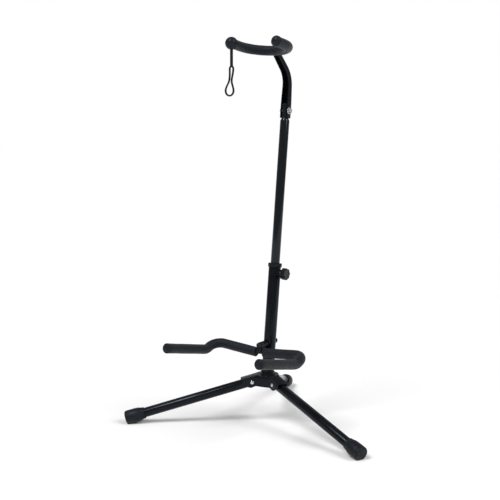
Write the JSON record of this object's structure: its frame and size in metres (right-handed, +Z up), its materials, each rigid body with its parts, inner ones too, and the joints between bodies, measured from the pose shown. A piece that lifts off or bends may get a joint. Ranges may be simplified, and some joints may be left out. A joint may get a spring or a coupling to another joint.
{
  "type": "guitar stand",
  "caption": "Folding tubular guitar stand: tripod base, leaning telescopic pole, folding foam-covered cradle arms and a padded neck yoke with a rubber safety strap.",
  "frame": {"origin": "on the floor under the centre of the stand's bounding box", "axes": "+Z up, the front of the stand faces -Y, the pole leans back towards +Y, and +X is to the right seen from the front"},
  "size_m": [0.5258, 0.4641, 0.7907],
  "materials": {
    "black_coat": "gloss black powder coat",
    "gloss_coat": "high-gloss black enamel",
    "zinc_plate": "bright zinc plate",
    "foam": "matt closed-cell foam rubber",
    "foot_rubber": "satin moulded rubber",
    "cap_rubber": "satin moulded rubber",
    "knob_plastic": "polished moulded plastic",
    "collar_plastic": "fine matt moulded plastic"
  },
  "bodies": {
    "base": {"hub_sleeve": "black_coat", "hub_star": "black_coat", "hub_plate_front": "black_coat", "hub_plate_right": "black_coat", "hub_plate_left": "black_coat", "leg_rivet_left": "zinc_plate", "leg_rivet_right": "zinc_plate", "leg_rivet_rear": "zinc_plate", "outer_tube": "black_coat", "tube_collar": "collar_plastic", "clamp_boss": "black_coat", "cradle_boss": "black_coat", "cradle_back_plate": "black_coat", "cradle_front_plate": "black_coat", "cradle_stop": "black_coat", "cradle_bolt": "black_coat", "cradle_washer": "zinc_plate", "cradle_cap_nut": "black_coat"},
    "leg_left": {"leg_tube_left": "black_coat", "foot_left": "foot_rubber"},
    "leg_right": {"leg_tube_right": "black_coat", "foot_right": "foot_rubber"},
    "leg_rear": {"leg_tube_rear": "black_coat", "foot_rear": "foot_rubber"},
    "clamp": {"clamp_washer": "zinc_plate", "clamp_stud": "zinc_plate", "clamp_knob": "knob_plastic"},
    "cradle_arm_left": {"cradle_ear_left": "black_coat", "cradle_rod_left": "black_coat", "cradle_foam_left": "foam", "cradle_cap_left": "cap_rubber"},
    "cradle_arm_right": {"cradle_ear_right": "black_coat", "cradle_rod_right": "black_coat", "cradle_foam_right": "foam", "cradle_cap_right": "cap_rubber"},
    "mast_guide": {"mast_guide": "collar_plastic"},
    "mast": {"mast_tube": "gloss_coat", "neck_channel": "black_coat", "neck_bolt": "zinc_plate", "neck_nut": "zinc_plate", "neck_rivets": "black_coat", "yoke_rod": "black_coat", "yoke_foam": "foam", "yoke_cap_left": "cap_rubber", "yoke_cap_right": "cap_rubber"},
    "strap": {"neck_strap": "cap_rubber"}
  },
  "joints": [
    {"name": "leg_left_fold", "type": "hinge", "parent": "base", "child": "leg_left", "pos_m": [-0.04634, -0.059, 0.08739], "axis": [0.6088, -0.7934, 0], "range_deg": [0, 70]},
    {"name": "leg_right_fold", "type": "hinge", "parent": "base", "child": "leg_right", "pos_m": [0.0087, -0.04979, 0.08739], "axis": [0.3173, 0.9483, 0], "range_deg": [0, 70]},
    {"name": "leg_rear_fold", "type": "hinge", "parent": "base", "child": "leg_rear", "pos_m": [-0.03487, -0.01124, 0.08739], "axis": [-0.9026, -0.4305, 0], "range_deg": [0, 70]},
    {"name": "mast_height", "type": "slide", "parent": "base", "child": "mast_guide", "axis": [0, 0.1149, 0.9934], "range_m": [-0.07, 0.02]},
    {"name": "mast_swivel", "type": "hinge", "parent": "mast_guide", "child": "mast", "pos_m": [-0.02126, -0.02023, 0.25627], "axis": [0, 0.1149, 0.9934], "continuous": true},
    {"name": "clamp_turn", "type": "hinge", "parent": "base", "child": "clamp", "pos_m": [-0.00426, -0.01379, 0.31189], "axis": [1, 0, 0], "continuous": true},
    {"name": "cradle_left_fold", "type": "hinge", "parent": "base", "child": "cradle_arm_left", "pos_m": [-0.02126, -0.03034, 0.16885], "axis": [0, 1, 0], "range_deg": [0, 80]},
    {"name": "cradle_right_fold", "type": "hinge", "parent": "base", "child": "cradle_arm_right", "pos_m": [-0.02126, -0.03034, 0.16885], "axis": [0, -1, 0], "range_deg": [0, 80]},
    {"name": "strap_swing", "type": "hinge", "parent": "mast", "child": "strap", "pos_m": [-0.07426, -0.09015, 0.76853], "axis": [0, 1, 0], "range_deg": [-70, 70]}
  ]
}
